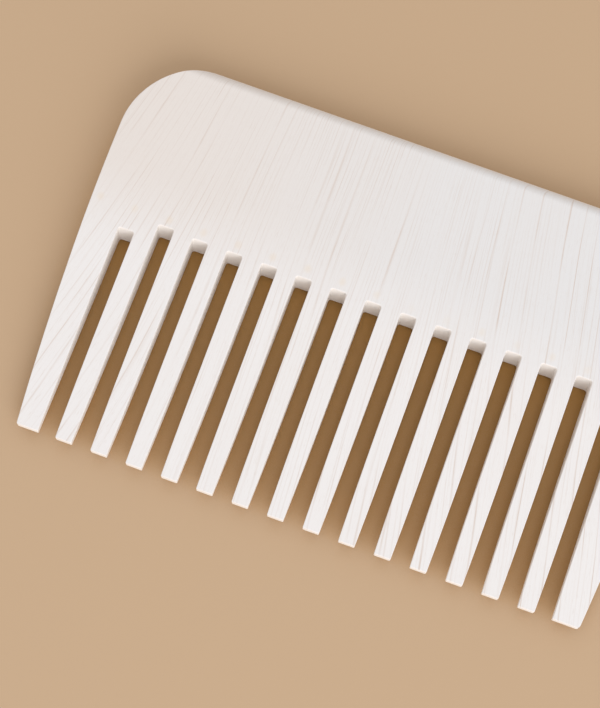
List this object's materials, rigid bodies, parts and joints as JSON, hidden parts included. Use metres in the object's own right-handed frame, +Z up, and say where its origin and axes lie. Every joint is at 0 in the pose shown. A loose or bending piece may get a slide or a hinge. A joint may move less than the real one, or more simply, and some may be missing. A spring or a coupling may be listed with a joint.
{
  "type": "hair comb",
  "caption": "Flat wide-tooth wooden hair comb with a straight rounded back, tapered flat-ended teeth and slightly bowed sides.",
  "frame": {"origin": "bottom centre of the comb's box, on the plane of the lower face of the back", "axes": "+X along the back from the left end to the right end, +Y from the tooth tips to the back edge, +Z up through the thickness of the board"},
  "size_m": [0.1, 0.067, 0.006],
  "materials": {
    "maple": "bare fine-sanded pale maple, matte to satin, no lacquer"
  },
  "bodies": {
    "root": {"back": "maple", "end_tooth_left": "maple", "tooth_02": "maple", "tooth_03": "maple", "tooth_04": "maple", "tooth_05": "maple", "tooth_06": "maple", "tooth_07": "maple", "tooth_08": "maple", "tooth_09": "maple", "tooth_10": "maple", "tooth_11": "maple", "tooth_12": "maple", "tooth_13": "maple", "tooth_14": "maple", "tooth_15": "maple", "end_tooth_right": "maple"}
  },
  "joints": []
}
